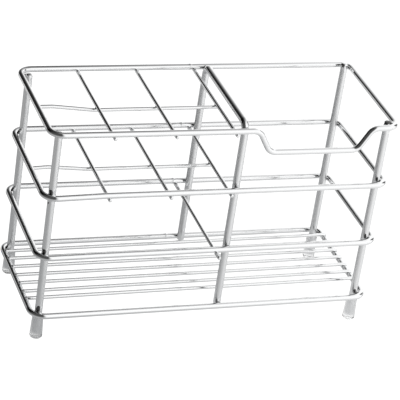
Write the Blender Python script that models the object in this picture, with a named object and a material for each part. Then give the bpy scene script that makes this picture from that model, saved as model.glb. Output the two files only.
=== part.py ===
"""Wire toothbrush holder.

Four equal rings of bent wire are welded round four upright posts. An inverted-U
divider parts the rack: the left side has cross wires and lengthwise wires that
keep the brushes apart, and the right side is open, with a dip in the rim's front.
The base ring carries a floor of thin wires, and sleeves on the posts are the feet.

Metres, +Z up. +X runs along the length to the right and +Y to the back. The
origin is on the ground, under the middle of the rings.
"""

import math

import bmesh
import bpy
from mathutils import Vector

MM = 0.001

# Wire gauges
RING_WIRE = 3.0 * MM
POST_WIRE = 4.0 * MM
THIN_WIRE = 2.0 * MM

# Wires that touch are kept this far apart, so that each stays a solid of its own
SEAT = 0.3 * MM

# Rings: outer length and depth, bend of the wire's centre line, and heights of its middle
LENGTH = 190.5 * MM
DEPTH = 76.2 * MM
CORNER_BEND = 6.8 * MM
RING_PITCH = 35.4 * MM
BASE = 16.0 * MM
THIRD = BASE + RING_PITCH
SECOND = THIRD + RING_PITCH
TOP = SECOND + RING_PITCH

# Dip in the front of the top rim, over the right side
DIP_MIDDLE_X = 47.6 * MM
DIP_TOP_LENGTH = 63.3 * MM
DIP_BOTTOM_LENGTH = 48.8 * MM
DIP_DEPTH = 13.2 * MM
DIP_BEND = 6.0 * MM

# Divider: its place along the rack, its bar's height over the top rim, and its legs' ends
DIVIDER_X = 9.2 * MM
DIVIDER_BEND = 4.6 * MM
DIVIDER_RISE = 1.7 * MM
DIVIDER_REACH = 1.0 * MM

# Posts stop a little under the middle of the top rim
POST_TOP_DROP = 1.2 * MM

# Cross wires: the first one's place and the spacing on each ring, and length
UPPER_FIRST_X = -61.2 * MM
UPPER_PITCH = 32.5 * MM
MIDDLE_FIRST_X = -59.8 * MM
MIDDLE_PITCH = 32.85 * MM
CROSS_COUNT = 3
CROSS_LENGTH = DEPTH
LOWER_CROSS_X = 3.0 * MM
LOWER_CROSS_LENGTH = 84.0 * MM

# Lengthwise wires run past the last cross wire, and climb to the left rail from the first
LONG_WIRE_OVERRUN = 1.2 * MM
LONG_WIRE_CLIMB = 22.0 * MM
LONG_WIRE_BEND = 10.0 * MM

# Floor wires lie on the base ring's side rails and end a little past their middle
FLOOR_COUNT = 7
FLOOR_PITCH = 8.0 * MM
FLOOR_BACK_Y = 26.5 * MM
FLOOR_OVERRUN = 0.6 * MM

# Foot sleeves
FOOT_DIAMETER = 6.8 * MM
FOOT_TOP_DIAMETER = 5.8 * MM
FOOT_BORE = POST_WIRE + 2 * SEAT
FOOT_EDGE = 1.2 * MM
FOOT_LIP = 0.3 * MM
FOOT_FLOOR = 2.4 * MM
FOOT_HEIGHT = BASE - RING_WIRE / 2 - 1.0 * MM

# Fineness of the round forms
STOUT_SIDES = 16
THIN_SIDES = 12
FOOT_SIDES = 24
BEND_STEP = math.radians(11.25)
EDGE_STEPS = 3
END_ROUNDING = 0.55

# Centre lines that the rest is placed from
RAIL_X = (LENGTH - RING_WIRE) / 2
RAIL_Y = (DEPTH - RING_WIRE) / 2
STOUT_GAP = (RING_WIRE + POST_WIRE) / 2 + SEAT
POST_INSET = CORNER_BEND - (CORNER_BEND - STOUT_GAP) / math.sqrt(2)
CROSS_DROP = (RING_WIRE + THIN_WIRE) / 2 + SEAT
LONG_DROP = CROSS_DROP + THIN_WIRE + SEAT


def make_material(name, colour, metallic, roughness):
    """A surface of one colour."""
    material = bpy.data.materials.new(name)
    material.use_nodes = True
    shader = material.node_tree.nodes["Principled BSDF"]
    shader.inputs["Base Color"].default_value = (*colour, 1.0)
    shader.inputs["Metallic"].default_value = metallic
    shader.inputs["Roughness"].default_value = roughness
    return material


def bend(before, corner, after, radius):
    """Centre-line points of a round bend at a corner between two straight runs."""
    back = (before - corner).normalized()
    onward = (after - corner).normalized()
    half_angle = back.angle(onward) / 2
    inward = (back + onward).normalized()
    along = (onward - back).normalized()
    centre = corner + inward * (radius / math.sin(half_angle))
    half_turn = math.pi / 2 - half_angle
    steps = max(2, round(2 * half_turn / BEND_STEP))
    turns = [half_turn * (2 * step / steps - 1) for step in range(steps + 1)]
    return [centre + radius * (along * math.sin(turn) - inward * math.cos(turn)) for turn in turns]


def closed_path(corners):
    """Centre line of a closed wire from its corners, each a point and a bend radius."""
    points = []
    for index, (corner, radius) in enumerate(corners):
        before = corners[index - 1][0]
        after = corners[(index + 1) % len(corners)][0]
        points += bend(before, corner, after, radius)
    return points


def open_path(start, corners, end):
    """Centre line of an open wire from its two ends and the corners between them."""
    stations = [start, *[corner for corner, radius in corners], end]
    points = [start]
    for index, (corner, radius) in enumerate(corners):
        points += bend(stations[index], corner, stations[index + 2], radius)
    return [*points, end]


def rounded_ends(points, diameter):
    """Centre line and its thickness factors, with the edges of both ends rounded over."""
    turns = [math.pi / 2 * step / EDGE_STEPS for step in range(EDGE_STEPS + 1)]
    depths = [diameter / 2 * END_ROUNDING * (1 - math.cos(turn)) for turn in turns]
    widths = [1 - END_ROUNDING * (1 - math.sin(turn)) for turn in turns]
    onward = (points[1] - points[0]).normalized()
    back = (points[-2] - points[-1]).normalized()
    start = [points[0] + onward * depth for depth in depths]
    end = [points[-1] + back * depth for depth in reversed(depths)]
    middle = points[1:-1]
    return [*start, *middle, *end], [*widths, *[1.0] * len(middle), *reversed(widths)]


def wire(name, points, diameter, sides, material, closed=False):
    """Round wire along a centre line, either a closed loop or with rounded ends."""
    widths = [1.0] * len(points)
    if not closed:
        points, widths = rounded_ends(points, diameter)
    curve = bpy.data.curves.new(name, "CURVE")
    curve.dimensions = "3D"
    curve.bevel_depth = diameter / 2
    curve.bevel_resolution = sides // 2 - 2
    curve.use_fill_caps = True
    spline = curve.splines.new("POLY")
    spline.points.add(len(points) - 1)
    for station, point, width in zip(spline.points, points, widths):
        station.co = (*point, 1.0)
        station.radius = width
    spline.use_cyclic_u = closed
    curve.materials.append(material)
    return curve


def turned(name, profile, sides, material):
    """Solid of revolution about Z, from a profile of (radius, height) that starts and ends on the axis."""
    mesh = bpy.data.meshes.new(name)
    form = bmesh.new()
    line = [form.verts.new((radius, 0, height)) for radius, height in profile]
    edges = [form.edges.new(pair) for pair in zip(line, line[1:])]
    bmesh.ops.spin(form, geom=line + edges, cent=(0, 0, 0), axis=(0, 0, 1), angle=math.tau,
                   steps=sides, use_merge=True)
    bmesh.ops.remove_doubles(form, verts=form.verts, dist=0.001 * MM)
    bmesh.ops.recalc_face_normals(form, faces=form.faces)
    form.to_mesh(mesh)
    form.free()
    mesh.shade_smooth()
    mesh.set_sharp_from_angle(angle=math.radians(40))
    mesh.materials.append(material)
    return mesh


def place(name, form, location=(0, 0, 0)):
    """Add one piece of the rack under the rack's empty."""
    piece = bpy.data.objects.new(name, form)
    piece.location = location
    piece.parent = bpy.data.objects["toothbrush_holder"]
    bpy.context.collection.objects.link(piece)


def ring_corner(x_side, y_side):
    """One rounded corner of a ring, in the ring's own plane."""
    return Vector((x_side * RAIL_X, y_side * RAIL_Y, 0)), CORNER_BEND


def dip_corners():
    """The four bends of the dip, from left to right, in the front rail's upright plane."""
    top = DIP_TOP_LENGTH / 2
    bottom = DIP_BOTTOM_LENGTH / 2
    outline = [(-top, 0), (-bottom, -DIP_DEPTH), (bottom, -DIP_DEPTH), (top, 0)]
    return [(Vector((DIP_MIDDLE_X + along, -RAIL_Y, height)), DIP_BEND) for along, height in outline]


def add_rings(steel):
    """Four rings, level above each other. The top one has the dip."""
    back = [ring_corner(1, -1), ring_corner(1, 1), ring_corner(-1, 1)]
    plain = closed_path([ring_corner(-1, -1), *back])
    dipped = closed_path([ring_corner(-1, -1), *dip_corners(), *back])
    plain_ring = wire("plain_ring", plain, RING_WIRE, STOUT_SIDES, steel, closed=True)
    dipped_ring = wire("dipped_ring", dipped, RING_WIRE, STOUT_SIDES, steel, closed=True)
    place("base_rim", plain_ring, (0, 0, BASE))
    place("third_rim", plain_ring, (0, 0, THIRD))
    place("second_rim", plain_ring, (0, 0, SECOND))
    place("top_rim", dipped_ring, (0, 0, TOP))


def add_posts_and_feet(steel, plastic):
    """A post inside each corner bend, with a sleeve pushed on its lower end."""
    bottom = Vector((0, 0, FOOT_FLOOR + SEAT))
    top = Vector((0, 0, TOP - POST_TOP_DROP))
    post = wire("post", [bottom, top], POST_WIRE, STOUT_SIDES, steel)
    foot = turned("foot", foot_profile(), FOOT_SIDES, plastic)
    for y_name, y_side in (("front", -1), ("back", 1)):
        for x_name, x_side in (("left", -1), ("right", 1)):
            spot = (x_side * (RAIL_X - POST_INSET), y_side * (RAIL_Y - POST_INSET), 0)
            place(f"post_{y_name}_{x_name}", post, spot)
            place(f"foot_{y_name}_{x_name}", foot, spot)


def foot_profile():
    """A sleeve that widens to its flat, round-edged bottom, with a blind bore from the top."""
    outer = FOOT_DIAMETER / 2
    upper = FOOT_TOP_DIAMETER / 2
    bore = FOOT_BORE / 2
    turns = [math.pi / 2 * step / EDGE_STEPS for step in range(EDGE_STEPS + 1)]
    edge = [(outer - FOOT_EDGE * (1 - math.sin(turn)), FOOT_EDGE * (1 - math.cos(turn))) for turn in turns]
    lip = [(upper - FOOT_LIP * (1 - math.cos(turn)), FOOT_HEIGHT - FOOT_LIP * (1 - math.sin(turn)))
           for turn in turns]
    inside = [(bore, FOOT_HEIGHT), (bore, FOOT_FLOOR), (0, FOOT_FLOOR)]
    return [(0, 0), *edge, *lip, *inside]


def add_divider(steel):
    """An inverted U inside the front and back rails, its bar a little above the top rim."""
    leg_y = RAIL_Y - STOUT_GAP
    foot_z = BASE - DIVIDER_REACH
    bar_z = TOP + DIVIDER_RISE
    corners = [(Vector((0, side * leg_y, bar_z)), DIVIDER_BEND) for side in (-1, 1)]
    path = open_path(Vector((0, -leg_y, foot_z)), corners, Vector((0, leg_y, foot_z)))
    place("divider", wire("divider", path, POST_WIRE, STOUT_SIDES, steel), (DIVIDER_X, 0, 0))


def cross_wire(name, length, steel):
    """A straight wire from front to back, as long as given, under its ring's middle."""
    ends = [Vector((0, side * length / 2, -CROSS_DROP)) for side in (-1, 1)]
    return wire(name, ends, THIN_WIRE, THIN_SIDES, steel)


def long_wire(first_x, pitch, steel):
    """A wire under a ring's cross wires, raised at the left to pass under the left rail."""
    last_x = first_x + (CROSS_COUNT - 1) * pitch
    right_end = Vector((last_x + LONG_WIRE_OVERRUN, 0, -LONG_DROP))
    low_bend = Vector((first_x - LONG_WIRE_OVERRUN, 0, -LONG_DROP))
    high_bend = Vector((low_bend.x - LONG_WIRE_CLIMB, 0, -CROSS_DROP))
    left_end = Vector((-RAIL_X, 0, -CROSS_DROP))
    corners = [(low_bend, LONG_WIRE_BEND), (high_bend, LONG_WIRE_BEND)]
    return wire("long_wire", open_path(right_end, corners, left_end), THIN_WIRE, THIN_SIDES, steel)


def add_brush_grids(steel):
    """Three cross wires and a lengthwise one under each of the two upper rings."""
    cross = cross_wire("cross_wire", CROSS_LENGTH, steel)
    levels = (("upper", UPPER_FIRST_X, UPPER_PITCH, TOP), ("middle", MIDDLE_FIRST_X, MIDDLE_PITCH, SECOND))
    for level, first_x, pitch, height in levels:
        for count in range(CROSS_COUNT):
            place(f"{level}_cross_wire_{count + 1}", cross, (first_x + count * pitch, 0, height))
        place(f"{level}_long_wire", long_wire(first_x, pitch, steel), (0, 0, height))
    lower = cross_wire("lower_cross_wire", LOWER_CROSS_LENGTH, steel)
    place("lower_cross_wire", lower, (LOWER_CROSS_X, 0, THIRD))


def add_floor(steel):
    """Wires that run the whole length and rest on the base ring's side rails."""
    reach = RAIL_X + FLOOR_OVERRUN
    floor_wire = wire("floor_wire", [Vector((-reach, 0, 0)), Vector((reach, 0, 0))], THIN_WIRE, THIN_SIDES,
                      steel)
    for count in range(FLOOR_COUNT):
        y = FLOOR_BACK_Y - count * FLOOR_PITCH
        place(f"floor_wire_{count + 1}", floor_wire, (0, y, BASE + CROSS_DROP))


for leftover in list(bpy.data.objects):
    bpy.data.objects.remove(leftover)
bpy.context.collection.objects.link(bpy.data.objects.new("toothbrush_holder", None))

polished_steel = make_material("polished_steel", (0.83, 0.84, 0.85), 1.0, 0.08)
grey_plastic = make_material("grey_plastic", (0.60, 0.61, 0.62), 0.0, 0.45)

add_rings(polished_steel)
add_posts_and_feet(polished_steel, grey_plastic)
add_divider(polished_steel)
add_brush_grids(polished_steel)
add_floor(polished_steel)
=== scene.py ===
"""A wire toothbrush holder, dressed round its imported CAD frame.

The file follows the rack as it is put together: the rings, the posts, the divider, the wires that
part the brushes, the floor, the weld beads and the sleeves it stands on. Metres, +Z up, +X to the
open side, +Y to the back.
"""

import math

import bmesh
import bpy
from mathutils import Euler, Matrix, Vector, noise


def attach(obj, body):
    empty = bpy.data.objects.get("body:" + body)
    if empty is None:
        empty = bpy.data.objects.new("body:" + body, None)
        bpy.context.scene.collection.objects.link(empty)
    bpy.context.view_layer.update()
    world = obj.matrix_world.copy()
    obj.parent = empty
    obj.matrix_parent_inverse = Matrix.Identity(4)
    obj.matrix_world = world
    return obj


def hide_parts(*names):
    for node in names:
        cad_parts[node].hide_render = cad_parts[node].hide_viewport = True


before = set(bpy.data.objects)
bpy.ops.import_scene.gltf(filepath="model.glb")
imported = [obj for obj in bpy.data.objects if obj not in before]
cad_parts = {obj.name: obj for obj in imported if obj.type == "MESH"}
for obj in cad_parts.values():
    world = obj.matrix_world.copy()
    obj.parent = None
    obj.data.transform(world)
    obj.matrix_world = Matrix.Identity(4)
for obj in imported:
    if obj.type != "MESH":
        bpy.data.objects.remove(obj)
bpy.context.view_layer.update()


# The camera: a long lens on a small stand at the rack's front left, looking down on it by 29
# degrees. Its place and turn come from a fit to the photograph.

CAMERA_PLACE = Vector((-0.35785, -0.8887, 0.5924))
CAMERA_DEGREES = (60.6828, -7.8102, -17.7869)

camera_lens = bpy.data.cameras.new("camera")
camera_lens.sensor_width = 36.0
camera_lens.lens = 183.65
camera_lens.clip_start = 0.01
camera = bpy.data.objects.new("camera", camera_lens)
camera_turn = Euler([math.radians(degrees) for degrees in CAMERA_DEGREES])
camera.matrix_world = Matrix.LocRotScale(CAMERA_PLACE, camera_turn, None)
bpy.context.scene.collection.objects.link(camera)
bpy.context.scene.camera = camera
bpy.context.scene.view_settings.view_transform = "Standard"


# The studio: a white room that burns out to pure white in the picture, as in the photograph. What
# the wires mirror is softer: a varnished table glowing in painted light and shade, lit at the right
# and back and in painted shadow near the rack and at the left, white walls with an unlit side on
# the left, a black flag at the back left and a black card at the right.

WHITE = (1.15, 1.15, 1.15, 1.0)
BLACK = (0.0, 0.0, 0.0, 1.0)
WALLS = (1.11, 1.11, 1.11, 1.0)
DARK_HEADING = -1.84
DARK_SPREAD = (1.02, 1.50)
DARK_RISE = (1.1, 2.2)
DARK_DEPTH = 0.93
TABLE_HALF = 3.0
# Painted light and shade on the table: shadow near the rack and at the left, light right and back.
TABLE_NEAR_SHADE = (0.375, 0.38, 0.385, 1.0)
TABLE_RIGHT_LIGHT = (0.92, 0.92, 0.92, 1.0)
TABLE_BACK_LIGHT = (1.0, 1.0, 1.0, 1.0)
TABLE_LEFT_SHADE = (0.46, 0.46, 0.46, 1.0)
RIGHTWARD = (0.8, -0.6, 0.0)
RIGHT_EDGE = (-0.134, 0.248)
BACK_EDGE = (0.171, 0.306)
LEFT_EDGE = (-0.30, -0.15)
GLANCING = (0.42, 0.85)
VARNISH = 0.70
VARNISH_DULLNESS = 0.15
CLOTH_HALF = 1.6


def add_node(tree, kind, settings=None, **inputs):
    """A shader node, its settings, and its inputs, each a value or another node's output."""
    made = tree.nodes.new(kind)
    for name, value in (settings or {}).items():
        setattr(made, name, value)
    for name, value in inputs.items():
        number = name[1:]
        socket = made.inputs[int(number) if number.isdigit() else name.replace("_", " ")]
        if isinstance(value, bpy.types.NodeSocket):
            tree.links.new(value, socket)
        else:
            socket.default_value = value
    return made


def reckon(tree, operation, *values):
    """The result of a sum on one, two or three values."""
    inputs = {f"_{place}": value for place, value in enumerate(values)}
    return add_node(tree, "ShaderNodeMath", {"operation": operation}, **inputs).outputs["Value"]


def measure(tree, vector, way):
    """How far a vector reaches in one direction."""
    made = add_node(tree, "ShaderNodeVectorMath", {"operation": "DOT_PRODUCT"}, _0=vector, _1=way)
    return made.outputs["Value"]


def fade(tree, value, low, high, start=0.0, end=1.0):
    """A soft step: the start where the value is below low, the end where it is above high."""
    made = add_node(tree, "ShaderNodeMapRange", {"interpolation_type": "SMOOTHSTEP"}, Value=value,
                    From_Min=low, From_Max=high, To_Min=start, To_Max=end)
    return made.outputs["Result"]


def blend(tree, share, first, second):
    """The first colour, with a share of the second over it."""
    made = add_node(tree, "ShaderNodeMix", {"data_type": "RGBA"}, Factor=share, _6=first, _7=second)
    return made.outputs[2]


def blank(owner):
    """The owner's node tree, emptied."""
    owner.use_nodes = True
    owner.node_tree.nodes.clear()
    return owner.node_tree


def set_down(name, form, material):
    """The finished form as an object in the scene."""
    mesh = bpy.data.meshes.new(name)
    form.to_mesh(mesh)
    form.free()
    mesh.materials.append(material)
    piece = bpy.data.objects.new(name, mesh)
    bpy.context.scene.collection.objects.link(piece)
    return piece


def build_room():
    """White walls and ceiling with an unlit side at the left, burnt out where the camera looks."""
    world = bpy.data.worlds.new("room")
    bpy.context.scene.world = world
    tree = blank(world)
    gaze = add_node(tree, "ShaderNodeTexCoord")
    parts = add_node(tree, "ShaderNodeSeparateXYZ", Vector=gaze.outputs["Generated"])
    level = add_node(tree, "ShaderNodeCombineXYZ", X=parts.outputs["X"], Y=parts.outputs["Y"])
    heading = add_node(tree, "ShaderNodeVectorMath", {"operation": "NORMALIZE"},
                       _0=level.outputs["Vector"])
    towards = measure(tree, heading.outputs["Vector"],
                      (math.sin(DARK_HEADING), math.cos(DARK_HEADING), 0.0))
    beside = fade(tree, reckon(tree, "ARCCOSINE", towards), *DARK_SPREAD, DARK_DEPTH, 0.0)
    above = fade(tree, reckon(tree, "ARCSINE", parts.outputs["Z"]), *DARK_RISE, 1.0, 0.0)
    walls = blend(tree, reckon(tree, "MULTIPLY", beside, above), WALLS, BLACK)
    path = add_node(tree, "ShaderNodeLightPath")
    colour = blend(tree, path.outputs["Is Camera Ray"], walls, WHITE)
    light = add_node(tree, "ShaderNodeBackground", Color=colour, Strength=1.0)
    add_node(tree, "ShaderNodeOutputWorld", Surface=light.outputs["Background"])


def build_table():
    """A wide varnished table top glowing in painted light and shade. The wires mirror its greys,
    and the camera sees it burnt out.
    """
    material = bpy.data.materials.new("table_top")
    tree = blank(material)
    spot = add_node(tree, "ShaderNodeTexCoord").outputs["Object"]
    place = add_node(tree, "ShaderNodeSeparateXYZ", Vector=spot)
    # Painted light and shade: lit to the right front and behind, painted shadow near and at the
    # left.
    right = fade(tree, measure(tree, spot, RIGHTWARD), *RIGHT_EDGE)
    behind = fade(tree, place.outputs["Y"], *BACK_EDGE)
    middle = fade(tree, place.outputs["X"], *LEFT_EDGE)
    near = blend(tree, right, TABLE_NEAR_SHADE, TABLE_RIGHT_LIGHT)
    lit = blend(tree, middle, TABLE_LEFT_SHADE, blend(tree, behind, near, TABLE_BACK_LIGHT))
    path = add_node(tree, "ShaderNodeLightPath")
    colour = blend(tree, path.outputs["Is Camera Ray"], lit, WHITE)
    glow = add_node(tree, "ShaderNodeEmission", Color=colour, Strength=1.0)
    gloss = add_node(tree, "ShaderNodeBsdfGlossy", Color=(1.0, 1.0, 1.0, 1.0),
                     Roughness=VARNISH_DULLNESS)
    flatness = add_node(tree, "ShaderNodeLayerWeight", Blend=0.5)
    glancing = fade(tree, flatness.outputs["Facing"], *GLANCING, 0.0, VARNISH)
    hidden = reckon(tree, "SUBTRACT", 1.0, path.outputs["Is Camera Ray"])
    top = add_node(tree, "ShaderNodeMixShader", _0=reckon(tree, "MULTIPLY", glancing, hidden),
                   _1=glow.outputs["Emission"], _2=gloss.outputs["BSDF"])
    add_node(tree, "ShaderNodeOutputMaterial", Surface=top.outputs["Shader"])
    form = bmesh.new()
    bmesh.ops.create_grid(form, x_segments=1, y_segments=1, size=TABLE_HALF)
    table = set_down("table_top", form, material)


def hang_cloth(name, middle, right, up, corners, feather, depth):
    """A black cloth stretched over four corners, clockwise in its plane. Only mirrors show it."""
    material = bpy.data.materials.new(name)
    tree = blank(material)
    spot = add_node(tree, "ShaderNodeTexCoord").outputs["Object"]
    mask = depth
    for (x, y), (next_x, next_y) in zip(corners, corners[1:] + corners[:1]):
        inward = Vector((next_y - y, x - next_x)).normalized()
        edge = inward.dot(Vector((x, y)))
        across = measure(tree, spot, (inward.x, inward.y, 0.0))
        mask = reckon(tree, "MULTIPLY", fade(tree, across, edge - feather, edge + feather), mask)
    cloth = add_node(tree, "ShaderNodeEmission", Color=BLACK, Strength=1.0)
    gap = add_node(tree, "ShaderNodeBsdfTransparent")
    both = add_node(tree, "ShaderNodeMixShader", _0=mask, _1=gap.outputs["BSDF"],
                    _2=cloth.outputs["Emission"])
    add_node(tree, "ShaderNodeOutputMaterial", Surface=both.outputs["Shader"])
    form = bmesh.new()
    bmesh.ops.create_grid(form, x_segments=1, y_segments=1, size=CLOTH_HALF)
    sheet = set_down(name, form, material)
    right, up = Vector(right), Vector(up)
    turn = Matrix((right, up, right.cross(up))).transposed().to_4x4()
    sheet.matrix_world = Matrix.Translation(middle) @ turn
    sheet.visible_camera = False
    sheet.visible_diffuse = False
    sheet.visible_shadow = False


build_room()
build_table()
hang_cloth("flag", middle=(-0.639, 0.5103, 0.1674), right=(0.9576, 0.2880, 0.0),
           up=(0.2770, -0.9213, 0.2729),
           corners=[(-0.734, 0.247), (-0.568, 0.322), (0.595, 0.983), (0.684, -0.340)],
           feather=0.2026, depth=0.983)
hang_cloth("card", middle=(0.75, 0.13, 0.28), right=(-0.174, 0.985, 0.0), up=(0.0, 0.0, 1.0),
           corners=[(-0.15, -0.20), (-0.15, 0.36), (0.15, 0.36), (0.15, -0.20)],
           feather=0.08, depth=0.95)


# The four rings: closed loops of 3.2 mm polished steel wire, each bent round four corners and butt
# welded. The top one is the rim, and its front rail dips over the open side so that a hand can
# reach in.

RING_GAUGE = 0.0032
RING_SIDES = 32
RAIL_X = 0.09375
RAIL_Y = 0.0366
RING_HEIGHTS = {"base_rim": 0.0160, "third_rim": 0.0514, "second_rim": 0.0868, "top_rim": 0.1222}
RING_BEND = 0.0068
TIGHT_BEND = 0.0058
WIDE_BENDS = {"top_rim": 0.0068, "second_rim": 0.0072, "third_rim": 0.0072, "base_rim": 0.0078}
CORNER_SPOT = RING_BEND - (RING_BEND - RING_GAUGE / 2) / math.sqrt(2.0)
TURN_STEP = math.radians(7.5)

DIP_MIDDLE_X = 0.0476
DIP_OUTLINE = ((-0.03165, 0.0), (-0.0244, -0.0126), (0.0244, -0.0126), (0.03165, 0.0))
DIP_BEND = 0.0060

SAGS = {"top_rim": (0.0001, 0.0009, 0.0002, 0.0004), "second_rim": (0.0002, 0.0, 0.0004, 0.0006),
        "third_rim": (0.0004, 0.0, 0.0, 0.0001), "base_rim": (0.0007, -0.0003, 0.0009, 0.0002)}
DROOPS = {"second_rim": 0.0008, "third_rim": 0.0003}
DROOP_START_X = -0.062
DROOP_BEND = 0.15
LOW_WELD = 0.0024
BASE_SHIFT = 0.0004

RING_JOINT_X = 0.0010
JOINT_START = 0.0006
JOINT_REACH = (0.003, 0.006)
UPSET = 0.00014
UPSET_WIDTH = 0.0006
JOIN_GAP = 0.000005

FILED = 0.55
FILED_STEPS = 4
WELD_STOPS = (-0.0045, -0.0028, -0.0017, -0.0008, 0.0, 0.0008, 0.0017, 0.0028, 0.0045)
WELD_REACH = 0.005
END_GAP = 0.0002
STOP_GAP = 0.0003
# Reach of the darkening near welds: burnt steel, and painted shade where wires touch.
HEAT_AND_SHADE_SHARE = 0.45
HEAT_AND_SHADE_SPREAD = 0.0004

DIVIDER_X = 0.0092
CROSS_XS = {"top_rim": (-0.0612, -0.0287, 0.0038), "second_rim": (-0.0598, -0.02695, 0.0059),
            "third_rim": (0.0030,)}
LONG_END_YS = {"top_rim": -0.0012, "second_rim": -0.0020}
FLOOR_BACK_Y = 0.0265
FLOOR_PITCH = 0.0080
FLOOR_WIRES = 7
FLOOR_YS = tuple(FLOOR_BACK_Y - FLOOR_PITCH * count for count in range(FLOOR_WIRES))
# Painted shade and dark reflection at the rim's front left corner.
RIM_PAINTED_SHADE = ((0.0006, 0.0010, -0.0010), (0.0030, -0.0010, -0.0006), (0.0055, -0.0010, -0.0002))
# Dark marks on the base ring's left rail.
BASE_DARK_MARKS = ((0.0013, -0.0180, 0.0008), (0.0013, -0.0262, 0.0008))

BRIGHT_STEEL = (0.90, 0.905, 0.91, 1.0)
# Dark near welds: burnt steel, and painted shade and dark reflection where wires touch.
BURNT_STEEL_AND_SHADE = (0.06, 0.058, 0.055, 1.0)
POLISHED = 0.045
HAND_REACH = (0.116, 0.121)
SMEARS = (0.48, 0.72)
SMEAR_DULLNESS = 0.07
LINE_DULLNESS = 0.05
LINE_DEPTH = 0.05
BURNT_DULLNESS = 0.22


def build_drawn_finish():
    """What drawing, handling and welding leave on a wire: fine lines, soft marks, burnt steel. Near
    welds the dark is also painted shade and dark reflection where wires touch.
    """
    group = bpy.data.node_groups.new("drawn_finish", "ShaderNodeTree")
    group.interface.new_socket(name="Dullness", in_out="INPUT", socket_type="NodeSocketFloat")
    group.interface.new_socket(name="Color", in_out="OUTPUT", socket_type="NodeSocketColor")
    group.interface.new_socket(name="Roughness", in_out="OUTPUT", socket_type="NodeSocketFloat")
    group.interface.new_socket(name="Height", in_out="OUTPUT", socket_type="NodeSocketFloat")
    given = add_node(group, "NodeGroupInput")
    place = add_node(group, "ShaderNodeTexCoord").outputs["Object"]
    straight = add_node(group, "ShaderNodeAttribute", {"attribute_name": "drawn"})
    heat = add_node(group, "ShaderNodeAttribute", {"attribute_name": "heat"}).outputs["Fac"]
    stretched = add_node(group, "ShaderNodeMapping", Vector=straight.outputs["Vector"],
                         Scale=(14000.0, 14000.0, 160.0))
    lines = add_node(group, "ShaderNodeTexNoise", Vector=stretched.outputs["Vector"], Scale=1.0,
                     Detail=3.0, Roughness=0.6).outputs["Fac"]
    plating = add_node(group, "ShaderNodeTexNoise", Vector=place, Scale=420.0, Detail=2.0)
    marks = add_node(group, "ShaderNodeTexNoise", Vector=place, Scale=95.0, Detail=5.0,
                     Roughness=0.65)
    # Dark near welds: burnt steel, and painted shade and dark reflection where wires touch.
    burnt_and_shade = add_node(group, "ShaderNodeMapRange", Value=heat, To_Max=0.96)
    colour = blend(group, burnt_and_shade.outputs["Result"], BRIGHT_STEEL, BURNT_STEEL_AND_SHADE)
    smear = fade(group, marks.outputs["Fac"], *SMEARS)
    smeared = reckon(group, "MULTIPLY_ADD", smear, SMEAR_DULLNESS, given.outputs["Dullness"])
    lined = reckon(group, "MULTIPLY_ADD", lines, LINE_DULLNESS, smeared)
    roughness = reckon(group, "MULTIPLY_ADD", heat, BURNT_DULLNESS, lined)
    grooves = reckon(group, "MULTIPLY", lines, LINE_DEPTH)
    height = reckon(group, "ADD", grooves, plating.outputs["Fac"])
    add_node(group, "NodeGroupOutput", Color=colour, Roughness=roughness, Height=height)
    return group


def make_steel(name, dullness, top_dullness):
    """Drawn steel wire, as dull as given, and of another dullness at the top, where hands reach."""
    material = bpy.data.materials.new(name)
    tree = blank(material)
    place = add_node(tree, "ShaderNodeTexCoord")
    level = add_node(tree, "ShaderNodeSeparateXYZ", Vector=place.outputs["Object"])
    worn = fade(tree, level.outputs["Z"], *HAND_REACH, dullness, top_dullness)
    finish = add_node(tree, "ShaderNodeGroup", {"node_tree": drawn_finish}, Dullness=worn)
    bump = add_node(tree, "ShaderNodeBump", Strength=1.0, Distance=0.00001,
                    Height=finish.outputs["Height"])
    shader = add_node(tree, "ShaderNodeBsdfPrincipled", Base_Color=finish.outputs["Color"],
                      Metallic=1.0, Roughness=finish.outputs["Roughness"],
                      Normal=bump.outputs["Normal"])
    add_node(tree, "ShaderNodeOutputMaterial", Surface=shader.outputs["BSDF"])
    return material


def newest(made):
    """The edges of the open loop that an extrusion or a spin has just left."""
    fresh = {vert for vert in made if isinstance(vert, bmesh.types.BMVert)}
    edges = [edge for edge in made if isinstance(edge, bmesh.types.BMEdge)]
    return [edge for edge in edges if set(edge.verts) <= fresh]


def loop_points(edges):
    """The points of an open loop of edges."""
    return list(dict.fromkeys(vert for edge in edges for vert in edge.verts))


def draw_on(form, edges, step, drawn):
    """Draw the wire straight on by a step."""
    edges = newest(bmesh.ops.extrude_edge_only(form, edges=edges)["geom"])
    points = loop_points(edges)
    bmesh.ops.translate(form, verts=points, vec=step)
    for point in points:
        point[drawn] = point[drawn] + Vector((0.0, 0.0, step.length))
    return edges


def bend_on(form, edges, centre, axis, angle, radius, drawn):
    """Bend the wire on round a centre, a little at a time."""
    steps = max(2, round(angle / TURN_STEP))
    for _ in range(steps):
        made = bmesh.ops.spin(form, geom=loop_points(edges) + edges, cent=centre, axis=axis,
                              angle=angle / steps, steps=1)
        edges = newest(made["geom_last"])
        for point in loop_points(edges):
            point[drawn] = point[drawn] + Vector((0.0, 0.0, radius * angle / steps))
    return edges


def round_end(form, edges, middle, ahead, gauge):
    """Turn a cut end's edge over, and close it."""
    filed = FILED * gauge / 2
    before = gauge / 2
    for step in range(1, FILED_STEPS + 1):
        turn = math.radians(90.0 * step / FILED_STEPS)
        last_turn = math.radians(90.0 * (step - 1) / FILED_STEPS)
        radius = gauge / 2 - filed * (1.0 - math.cos(turn))
        depth = filed * (math.sin(turn) - math.sin(last_turn))
        edges = newest(bmesh.ops.extrude_edge_only(form, edges=edges)["geom"])
        points = loop_points(edges)
        bmesh.ops.scale(form, vec=(radius / before,) * 3, space=Matrix.Translation(-middle),
                        verts=points)
        bmesh.ops.translate(form, verts=points, vec=ahead * depth)
        middle = middle + ahead * depth
        before = radius
    bmesh.ops.edgeloop_fill(form, edges=edges)


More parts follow.
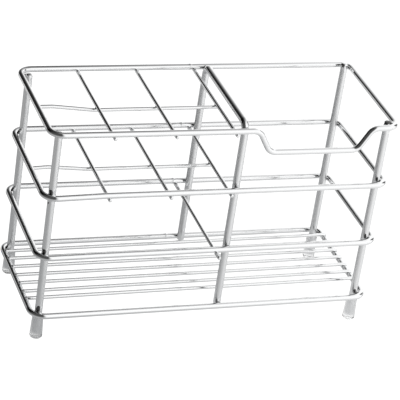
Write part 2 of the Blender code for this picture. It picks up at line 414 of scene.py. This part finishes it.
def stops_on(start, way, length, spots):
    """How far along a straight run the wire gets a new loop, close together round each weld."""
    stops = [length]
    for spot in spots:
        along = (spot - start).dot(way)
        if (start + way * along - spot).length < WELD_REACH:
            stops += [along + offset for offset in WELD_STOPS
                      if END_GAP < along + offset < length - END_GAP]
    kept = []
    for stop in sorted(stops):
        if not kept or stop - kept[-1] > STOP_GAP or stop == length:
            kept.append(stop)
    return kept


def lay_wire(name, gauge, sides, corners, spots, steel, closed=False):
    """A round wire through its corners, each a point and a bend radius, darkened where it is
    welded.

    The attribute drawn is where each point lay while the wire was straight, and the darkening
    attribute its nearness to a weld or a darkened spot: burnt steel, and painted contact shade.
    """
    form = bmesh.new()
    drawn = form.verts.layers.float_vector.new("drawn")
    heat = form.verts.layers.float.new("heat")
    points = [point for point, radius in corners]
    ahead = (points[1] - points[0]).normalized()
    filed = 0.0 if closed else FILED * gauge / 2
    here = points[0] + ahead * filed
    seat = Matrix.Translation(here) @ ahead.to_track_quat("Z", "Y").to_matrix().to_4x4()
    bmesh.ops.create_circle(form, cap_ends=False, radius=gauge / 2, segments=sides, matrix=seat)
    first = form.edges[:]
    for point in form.verts:
        point[drawn] = seat.inverted() @ point.co
    edges = first
    for index in range(1, len(points)):
        way = (points[index] - points[index - 1]).normalized()
        last = index == len(points) - 1
        if last:
            reach = filed
        else:
            onward = (points[index + 1] - points[index]).normalized()
            angle = way.angle(onward)
            reach = corners[index][1] * math.tan(angle / 2)
        length = (points[index] - here).length - reach
        done = 0.0
        for stop in stops_on(here, way, length, spots):
            edges = draw_on(form, edges, way * (stop - done), drawn)
            done = stop
        here = here + way * length
        if not last:
            axis = way.cross(onward).normalized()
            radius = corners[index][1]
            centre = here + axis.cross(way) * radius
            edges = bend_on(form, edges, centre, axis, angle, radius, drawn)
            here = points[index] + onward * reach
    if closed:
        bmesh.ops.remove_doubles(form, verts=form.verts, dist=JOIN_GAP)
        for point in form.verts:
            away = point.co - points[0]
            along = away.dot(ahead)
            if abs(along) < JOINT_REACH[0] and away.length < JOINT_REACH[1]:
                outward = (away - ahead * along).normalized()
                point.co += outward * UPSET * math.exp(-((along / UPSET_WIDTH) ** 2))
    else:
        round_end(form, first, points[0] + ahead * filed, -ahead, gauge)
        round_end(form, edges, here, way, gauge)
    # Darkening near welds: burnt steel, and painted contact shade and reflection.
    darkened = HEAT_AND_SHADE_SHARE * gauge + HEAT_AND_SHADE_SPREAD
    for point in form.verts:
        nearest = min((point.co - spot).length for spot in spots)
        point[heat] = math.exp(-((nearest / darkened) ** 2))
    bmesh.ops.recalc_face_normals(form, faces=form.faces)
    wire = set_down(name, form, steel)
    wire.data.shade_smooth()
    return wire


def on_ring(node, x, y, rise=0.0):
    """A point at a ring's height there. Welded on by eye, the rings' corners hang a little low."""
    front_left, front_right, back_left, back_right = SAGS[node]
    along, deep = 0.5 + 0.5 * x / RAIL_X, 0.5 + 0.5 * y / RAIL_Y
    sag = ((front_left * (1 - along) + front_right * along) * (1 - deep)
           + (back_left * (1 - along) + back_right * along) * deep)
    if node == "base_rim":
        x += BASE_SHIFT
    return Vector((x, y, RING_HEIGHTS[node] - sag + rise))


def weld_spot(node, x_side, y_side):
    """Where a ring's bend touches a post. The rim's back left one is welded from below."""
    droop = DROOPS.get(node, 0.0) if (x_side, y_side) == (-1, -1) else 0.0
    if (node, x_side, y_side) == ("top_rim", -1, 1):
        droop = LOW_WELD
    return on_ring(node, x_side * (RAIL_X - CORNER_SPOT), y_side * (RAIL_Y - CORNER_SPOT), -droop)


def add_ring(node, spots):
    """One ring. The rim gets the dip in its front rail, and two rings droop at the front left."""
    front = []
    if node == "top_rim":
        front = [(on_ring(node, DIP_MIDDLE_X + along, -RAIL_Y, rise), DIP_BEND)
                 for along, rise in DIP_OUTLINE]
    elif node in DROOPS:
        front = [(on_ring(node, DROOP_START_X, -RAIL_Y), DROOP_BEND)]
    joint = on_ring(node, RING_JOINT_X, RAIL_Y)
    left = on_ring(node, -RAIL_X, RAIL_Y)
    corners = [
        (joint, 0.0),
        (joint + (left - joint).normalized() * JOINT_START, 0.0),
        (left, RING_BEND),
        (on_ring(node, -RAIL_X, -RAIL_Y, -DROOPS.get(node, 0.0)), WIDE_BENDS[node]),
        *front,
        (on_ring(node, RAIL_X, -RAIL_Y), RING_BEND),
        (on_ring(node, RAIL_X, RAIL_Y), TIGHT_BEND),
        (joint, 0.0),
    ]
    ring = lay_wire(node + "_wire", RING_GAUGE, RING_SIDES, corners, spots, polished_steel,
                    closed=True)
    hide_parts(node)
    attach(ring, "root")


drawn_finish = build_drawn_finish()
polished_steel = make_steel("polished_steel", POLISHED, POLISHED)
for node in RING_HEIGHTS:
    spots = [weld_spot(node, x_side, y_side) for x_side in (-1, 1) for y_side in (-1, 1)]
    spots.append(on_ring(node, RING_JOINT_X, RAIL_Y, RING_GAUGE / 4))
    for side in (-1, 1):
        spots.append(on_ring(node, DIVIDER_X, side * (RAIL_Y - RING_GAUGE / 2)))
        for x in CROSS_XS.get(node, ()):
            spots.append(on_ring(node, x, side * RAIL_Y, -RING_GAUGE / 2))
    if node in LONG_END_YS:
        spots.append(on_ring(node, -RAIL_X, LONG_END_YS[node], -RING_GAUGE / 2))
    if node == "base_rim":
        spots += [on_ring(node, side * RAIL_X, y, RING_GAUGE / 2)
                  for y in FLOOR_YS for side in (-1, 1)]
        # Dark marks on the base ring's left rail, through the same darkening as the welds.
        spots += [on_ring(node, x - RAIL_X, y, rise) for x, y, rise in BASE_DARK_MARKS]
    if node == "top_rim":
        # Painted shade and dark reflection at the rim's front left corner.
        spots += [on_ring(node, x - RAIL_X, y - RAIL_Y, rise) for x, y, rise in RIM_PAINTED_SHADE]
    add_ring(node, spots)


# The corner posts: four 4 mm satin steel rods inside the rings' bends, welded to all four rings.
# Their tops are filed round by hand, not quite level, and worn bright but for the back left one.
# Their lower ends stand in the sleeves.

SATIN = 0.26
POST_TOPS = {"front_left": 0.1210, "front_right": 0.1223, "back_left": 0.1216,
             "back_right": 0.1250}
POST_FOOT = 0.0027
POST_GAUGE = 0.0040
POST_SIDES = 40
POST_SETBACK = 0.0038
POST_INSET = RING_BEND - (RING_BEND - POST_SETBACK) / math.sqrt(2.0)
POST_X = RAIL_X - POST_INSET
POST_Y = RAIL_Y - POST_INSET

satin_steel = make_steel("satin_steel", SATIN, POLISHED)
dull_steel = make_steel("dull_steel", SATIN, SATIN)
for y_name, y_side in (("front", -1), ("back", 1)):
    for x_name, x_side in (("left", -1), ("right", 1)):
        top = Vector((x_side * POST_X, y_side * POST_Y, POST_TOPS[f"{y_name}_{x_name}"]))
        foot = Vector((x_side * POST_X, y_side * POST_Y, POST_FOOT))
        spots = [weld_spot(node, x_side, y_side) for node in RING_HEIGHTS]
        # The front posts' tops are darkened too, through the same darkening as the welds.
        if y_name == "front":
            spots.append(top)
        steel = dull_steel if (y_name, x_name) == ("back", "left") else satin_steel
        post = lay_wire(f"post_{y_name}_{x_name}_rod", POST_GAUGE, POST_SIDES,
                        [(foot, 0.0), (top, 0.0)], spots, steel)
        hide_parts(f"post_{y_name}_{x_name}")
        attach(post, "root")


# The divider: an upside-down U of the same 4 mm satin rod, welded inside the front and back rails.
# Its bar, which hands keep bright, stands above the rim and parts the brushes from the open side.

DIVIDER_SETBACK = 0.0036
DIVIDER_Y = RAIL_Y - DIVIDER_SETBACK
DIVIDER_FOOT = 0.0150
DIVIDER_TOP = 0.1239
DIVIDER_BEND = 0.0046
divider_path = [
    (Vector((DIVIDER_X, -DIVIDER_Y, DIVIDER_FOOT)), 0.0),
    (Vector((DIVIDER_X, -DIVIDER_Y, DIVIDER_TOP)), DIVIDER_BEND),
    (Vector((DIVIDER_X, DIVIDER_Y, DIVIDER_TOP)), DIVIDER_BEND),
    (Vector((DIVIDER_X, DIVIDER_Y, DIVIDER_FOOT)), 0.0),
]
divider_spots = [on_ring(node, DIVIDER_X, side * (RAIL_Y - RING_GAUGE / 2))
                 for node in RING_HEIGHTS for side in (-1, 1)]
divider = lay_wire("divider_rod", POST_GAUGE, POST_SIDES, divider_path, divider_spots, satin_steel)
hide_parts("divider")
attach(divider, "root")


# The brush grids: under each of the two upper rings, three 2 mm wires run from front to back, and
# one runs lengthwise under them and climbs to the left rail. A single cross wire under the third
# ring stands past its rails.

THIN_GAUGE = 0.0020
THIN_SIDES = 24
CROSS_DROP = 0.0025
CROSS_HALF = 0.0381
LOWER_HALF = 0.0420
LONG_DROP = 0.0051
LONG_PAST = 0.0012
LONG_YS = {"upper": (LONG_END_YS["top_rim"], -0.0012),
           "middle": (LONG_END_YS["second_rim"], -0.0002)}
CLIMB = 0.022
CLIMB_BEND = 0.010


def add_thin_wire(node, corners, spots):
    """One thin wire in the place of its CAD node."""
    wire = lay_wire(node + "_rod", THIN_GAUGE, THIN_SIDES, corners, spots, polished_steel)
    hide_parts(node)
    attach(wire, "root")


def add_cross_wire(node, x, height, half, spots=()):
    """One thin wire from front to back, welded under the two long rails of a ring."""
    add_thin_wire(node, [(Vector((x, side * half, height - CROSS_DROP)), 0.0) for side in (-1, 1)],
                  [Vector((x, side * RAIL_Y, height - RING_GAUGE / 2)) for side in (-1, 1)]
                  + [*spots])


for level, ring in (("upper", "top_rim"), ("middle", "second_rim")):
    height = RING_HEIGHTS[ring]
    rail_y, grid_y = LONG_YS[level]
    grid_spots = [Vector((x, grid_y, height - (CROSS_DROP + LONG_DROP) / 2))
                  for x in CROSS_XS[ring]]
    for count, spot in enumerate(grid_spots):
        add_cross_wire(f"{level}_cross_wire_{count + 1}", CROSS_XS[ring][count], height,
                       CROSS_HALF, [spot])
    climb = CROSS_XS[ring][0] - LONG_PAST
    corners = [
        (Vector((CROSS_XS[ring][2] + LONG_PAST, grid_y, height - LONG_DROP)), 0.0),
        (Vector((climb, grid_y, height - LONG_DROP)), CLIMB_BEND),
        (Vector((climb - CLIMB, (rail_y + grid_y) / 2, height - CROSS_DROP)), CLIMB_BEND),
        (Vector((-RAIL_X, rail_y, height - CROSS_DROP)), 0.0),
    ]
    end_spot = Vector((-RAIL_X, rail_y, height - RING_GAUGE / 2))
    add_thin_wire(f"{level}_long_wire", corners, [*grid_spots, end_spot])

add_cross_wire("lower_cross_wire", CROSS_XS["third_rim"][0], RING_HEIGHTS["third_rim"], LOWER_HALF)


# The floor: seven 2 mm wires along the whole rack. They lie across the base ring's side rails, are
# welded down on them and end a little past their middle.

FLOOR_RISE = 0.0022
FLOOR_PAST = 0.0006
FLOOR_STRAYS = ((-0.0009, -0.0001), (-0.0005, -0.0001), (-0.0009, -0.0012), (-0.0012, -0.0007),
                (-0.0012, -0.0006), (-0.0015, -0.0001), (-0.0004, 0.0007))
# Painted shade and dark reflection where the front floor wire lies on the left rail.
FLOOR_PAINTED_SHADE = ((0.0038, -0.0009, 0.0001), (0.0052, -0.0009, 0.0001))
for count, y in enumerate(FLOOR_YS):
    sides = list(zip((-1, 1), FLOOR_STRAYS[count]))
    ends = [(on_ring("base_rim", side * (RAIL_X + FLOOR_PAST), y + stray, FLOOR_RISE), 0.0)
            for side, stray in sides]
    spots = [on_ring("base_rim", side * RAIL_X, y + stray, RING_GAUGE / 2) for side, stray in sides]
    if count == len(FLOOR_YS) - 1:
        # Painted shade and dark reflection where the front floor wire lies on the left rail.
        spots += [spots[0] + Vector(offset) for offset in FLOOR_PAINTED_SHADE]
    add_thin_wire(f"floor_wire_{count + 1}", ends, spots)


# The weld beads: at every crossing the two wires are pressed together hot, which leaves a small
# squeezed-out collar of dark steel between them. On the front posts some of it ran upwards, and
# these drawn-out dark drops, with one on the back right post's top, are also painted dark
# reflections of the rings in the posts.

POST_COLLAR = (0.0026, 0.0011)
WIRE_COLLAR = (0.0018, 0.0009)
GRID_COLLAR = (0.0014, 0.0008)
POST_CAP = (0.0036, 0.0009)
UPRIGHT = (0.0, 0.0, 1.0)
# Drops drawn out above welds: weld that ran, and painted dark reflection of the rings in the posts.
LEFT_RUN_AND_REFLECTION = ((0.0005, 0.0001, 0.0021), (-0.5, -0.8, 0.0), 0.0022, 0.0013, 1.6)
BASE_LEFT_RUN_AND_REFLECTION = ((0.0005, 0.0001, 0.0030), (-0.5, -0.8, 0.0), 0.0022, 0.0013, 2.1)
RIGHT_RUN_AND_REFLECTION = ((-0.0021, -0.0004, 0.0022), (-0.3, -0.9, 0.0), 0.0012, 0.0010, 2.4)
BACK_RUN_AND_REFLECTION = ((-0.0013, -0.0014, -0.0010), (-0.6, -0.8, 0.0), 0.0013, 0.0008, 1.7)
SPATTER = ((-0.0018, -0.0010, 0.0816), (-0.9, -0.5, 0.0), 0.0009, 0.0005)
UNEVEN = 0.12
UNEVEN_SCALE = 1600.0
PITTED_STEEL = (0.03, 0.03, 0.03, 1.0)
RUN_STEEL = (0.20, 0.198, 0.195, 1.0)


def make_bead_steel():
    """Steel that has run and set: dull, dark grey and pitted."""
    material = bpy.data.materials.new("weld_steel")
    tree = blank(material)
    place = add_node(tree, "ShaderNodeTexCoord")
    grain = add_node(tree, "ShaderNodeTexNoise", Vector=place.outputs["Object"], Scale=2600.0,
                     Detail=4.0).outputs["Fac"]
    colour = blend(tree, grain, PITTED_STEEL, RUN_STEEL)
    roughness = add_node(tree, "ShaderNodeMapRange", Value=grain, To_Min=0.18, To_Max=0.42)
    bump = add_node(tree, "ShaderNodeBump", Strength=0.6, Distance=0.00004, Height=grain)
    shader = add_node(tree, "ShaderNodeBsdfPrincipled", Base_Color=colour, Metallic=1.0,
                      Roughness=roughness.outputs["Result"], Normal=bump.outputs["Normal"])
    add_node(tree, "ShaderNodeOutputMaterial", Surface=shader.outputs["BSDF"])
    return material


def drop_from(spot, run):
    """A dark drop of steel beside a spot: its offset, the way it faces, and its sizes."""
    offset, *rest = run
    return (spot + Vector(offset), *rest)


def add_bead(form, spot, across, width, thickness, stretch=1.0):
    """One collar: a flat, slightly uneven drop of steel, drawn out upwards where it ran, which on
    the posts is also a painted dark reflection.
    """
    turn = Vector(across).to_track_quat("Z", "Y").to_matrix().to_4x4()
    size = Matrix.Diagonal((width / 2, stretch * width / 2, thickness / 2, 1.0))
    made = bmesh.ops.create_uvsphere(form, u_segments=20, v_segments=12, radius=1.0,
                                     matrix=Matrix.Translation(spot) @ turn @ size)["verts"]
    for point in made:
        point.co += (point.co - spot) * UNEVEN * noise.noise(point.co * UNEVEN_SCALE)


def add_beads(name, beads):
    """All the collars of one ring."""
    form = bmesh.new()
    for bead in beads:
        add_bead(form, *bead)
    bmesh.ops.recalc_face_normals(form, faces=form.faces)
    piece = set_down(name, form, bead_steel)
    piece.data.shade_smooth()
    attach(piece, "root")


bead_steel = make_bead_steel()
for node, height in RING_HEIGHTS.items():
    beads = [(weld_spot(node, x_side, y_side), (x_side, y_side, 0.0), *POST_COLLAR)
             for x_side in (-1, 1) for y_side in (-1, 1)]
    if node == "top_rim":
        for name, x_side in (("front_left", -1), ("front_right", 1)):
            beads.append((Vector((x_side * POST_X, -POST_Y, POST_TOPS[name])), UPRIGHT, *POST_CAP))
        # Dark drop on the back right post's top: weld that ran, and painted dark reflection of the
        # rim.
        beads.append(drop_from(Vector((POST_X, POST_Y, POST_TOPS["back_right"])), BACK_RUN_AND_REFLECTION))
    else:
        # Dark drops above the front welds: weld that ran, and painted dark reflection of the ring.
        left_run_and_reflection = BASE_LEFT_RUN_AND_REFLECTION if node == "base_rim" else LEFT_RUN_AND_REFLECTION
        beads.append(drop_from(weld_spot(node, -1, -1), left_run_and_reflection))
        beads.append(drop_from(weld_spot(node, 1, -1), RIGHT_RUN_AND_REFLECTION))
    if node == "second_rim":
        beads.append(drop_from(Vector((-POST_X, -POST_Y, 0.0)), SPATTER))
    for side in (-1, 1):
        spot = on_ring(node, DIVIDER_X, side * (RAIL_Y - RING_GAUGE / 2))
        beads.append((spot, (0.0, side, 0.0), *POST_COLLAR))
        for x in CROSS_XS.get(node, ()):
            spot = on_ring(node, x, side * RAIL_Y, -RING_GAUGE / 2)
            beads.append((spot, UPRIGHT, *WIRE_COLLAR))
    if node in LONG_END_YS:
        rail_y, grid_y = LONG_YS["upper" if node == "top_rim" else "middle"]
        beads.append((on_ring(node, -RAIL_X, rail_y, -RING_GAUGE / 2), UPRIGHT, *WIRE_COLLAR))
        for x in CROSS_XS[node]:
            spot = Vector((x, grid_y, height - (CROSS_DROP + LONG_DROP) / 2))
            beads.append((spot, UPRIGHT, *GRID_COLLAR))
    if node == "base_rim":
        for y, strays in zip(FLOOR_YS, FLOOR_STRAYS):
            for side, stray in zip((-1, 1), strays):
                spot = on_ring(node, side * RAIL_X, y + stray, RING_GAUGE / 2)
                beads.append((spot, UPRIGHT, *WIRE_COLLAR))
    add_beads(node.replace("rim", "welds"), beads)


# The sleeves: clear vinyl caps, faintly grey, pushed on the posts' lower ends, so that the rack
# neither slips nor scratches. The steel inside shows through, and their closed ends stay clear.

FOOT_SIDES = 48
FOOT_HEIGHT = 0.0135
FOOT_RADIUS = 0.0034
FOOT_TOP_RADIUS = 0.0029
FOOT_EDGE = 0.0013
FOOT_LIP = 0.0004
FOOT_FLOOR = 0.0034
UNDERSIDE = ((0.0, 0.0002), (0.0012, 0.0002), (0.0016, 0.0))
GRIP = 0.00003
BORE = POST_GAUGE / 2 - GRIP
BORE_MOUTH = 0.0008
ARC_STEPS = 6
SEAM_GAP = 0.000001
CLOUDY_VINYL = (0.93, 0.935, 0.94, 1.0)
CLEAR_VINYL = (0.99, 0.99, 0.99, 1.0)
SCUFFED = (0.0012, 0.0)
SCUFFED_DULLNESS = 0.20


def make_vinyl():
    """Clear vinyl, faintly grey, a little cloudy, and scuffed towards the ground."""
    material = bpy.data.materials.new("grey_vinyl")
    tree = blank(material)
    place = add_node(tree, "ShaderNodeTexCoord").outputs["Object"]
    cloud = add_node(tree, "ShaderNodeTexNoise", Vector=place, Scale=300.0, Detail=2.0)
    scuff = add_node(tree, "ShaderNodeTexNoise", Vector=place, Scale=2800.0, Detail=4.0)
    level = add_node(tree, "ShaderNodeSeparateXYZ", Vector=place)
    low = fade(tree, level.outputs["Z"], *SCUFFED, 0.0, SCUFFED_DULLNESS)
    colour = blend(tree, cloud.outputs["Fac"], CLOUDY_VINYL, CLEAR_VINYL)
    base = add_node(tree, "ShaderNodeMapRange", Value=scuff.outputs["Fac"], To_Min=0.02,
                    To_Max=0.06)
    bump = add_node(tree, "ShaderNodeBump", Strength=0.1, Distance=0.00001,
                    Height=cloud.outputs["Fac"])
    shader = add_node(tree, "ShaderNodeBsdfPrincipled", Base_Color=colour, Metallic=0.0,
                      Roughness=reckon(tree, "ADD", base.outputs["Result"], low), IOR=1.2,
                      Transmission_Weight=1.0, Normal=bump.outputs["Normal"])
    add_node(tree, "ShaderNodeOutputMaterial", Surface=shader.outputs["BSDF"])
    return material


def foot_outline():
    """Half a sleeve's section, from the middle of its underside round to the end of its bore."""
    outline = [*UNDERSIDE]
    for step in range(ARC_STEPS + 1):
        turn = math.radians(90.0 * step / ARC_STEPS)
        outline.append((FOOT_RADIUS - FOOT_EDGE * (1.0 - math.sin(turn)),
                        FOOT_EDGE * (1.0 - math.cos(turn))))
    for step in range(ARC_STEPS + 1):
        turn = math.radians(180.0 * step / ARC_STEPS)
        outline.append((FOOT_TOP_RADIUS - FOOT_LIP * (1.0 - math.cos(turn)),
                        FOOT_HEIGHT - FOOT_LIP * (1.0 - math.sin(turn))))
    return [*outline, (BORE, FOOT_HEIGHT - BORE_MOUTH), (BORE, FOOT_FLOOR), (0.0, FOOT_FLOOR)]


vinyl = make_vinyl()
for y_name, y_side in (("front", -1), ("back", 1)):
    for x_name, x_side in (("left", -1), ("right", 1)):
        name = f"foot_{y_name}_{x_name}"
        form = bmesh.new()
        line = [form.verts.new((radius, 0.0, height)) for radius, height in foot_outline()]
        edges = [form.edges.new(pair) for pair in zip(line, line[1:])]
        bmesh.ops.spin(form, geom=line + edges, cent=(0, 0, 0), axis=(0, 0, 1), angle=math.tau,
                       steps=FOOT_SIDES, use_merge=True)
        bmesh.ops.remove_doubles(form, verts=form.verts, dist=SEAM_GAP)
        bmesh.ops.recalc_face_normals(form, faces=form.faces)
        bmesh.ops.translate(form, verts=form.verts, vec=(x_side * POST_X, y_side * POST_Y, 0.0))
        sleeve = set_down(name + "_sleeve", form, vinyl)
        sleeve.data.shade_smooth()
        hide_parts(name)
        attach(sleeve, "root")
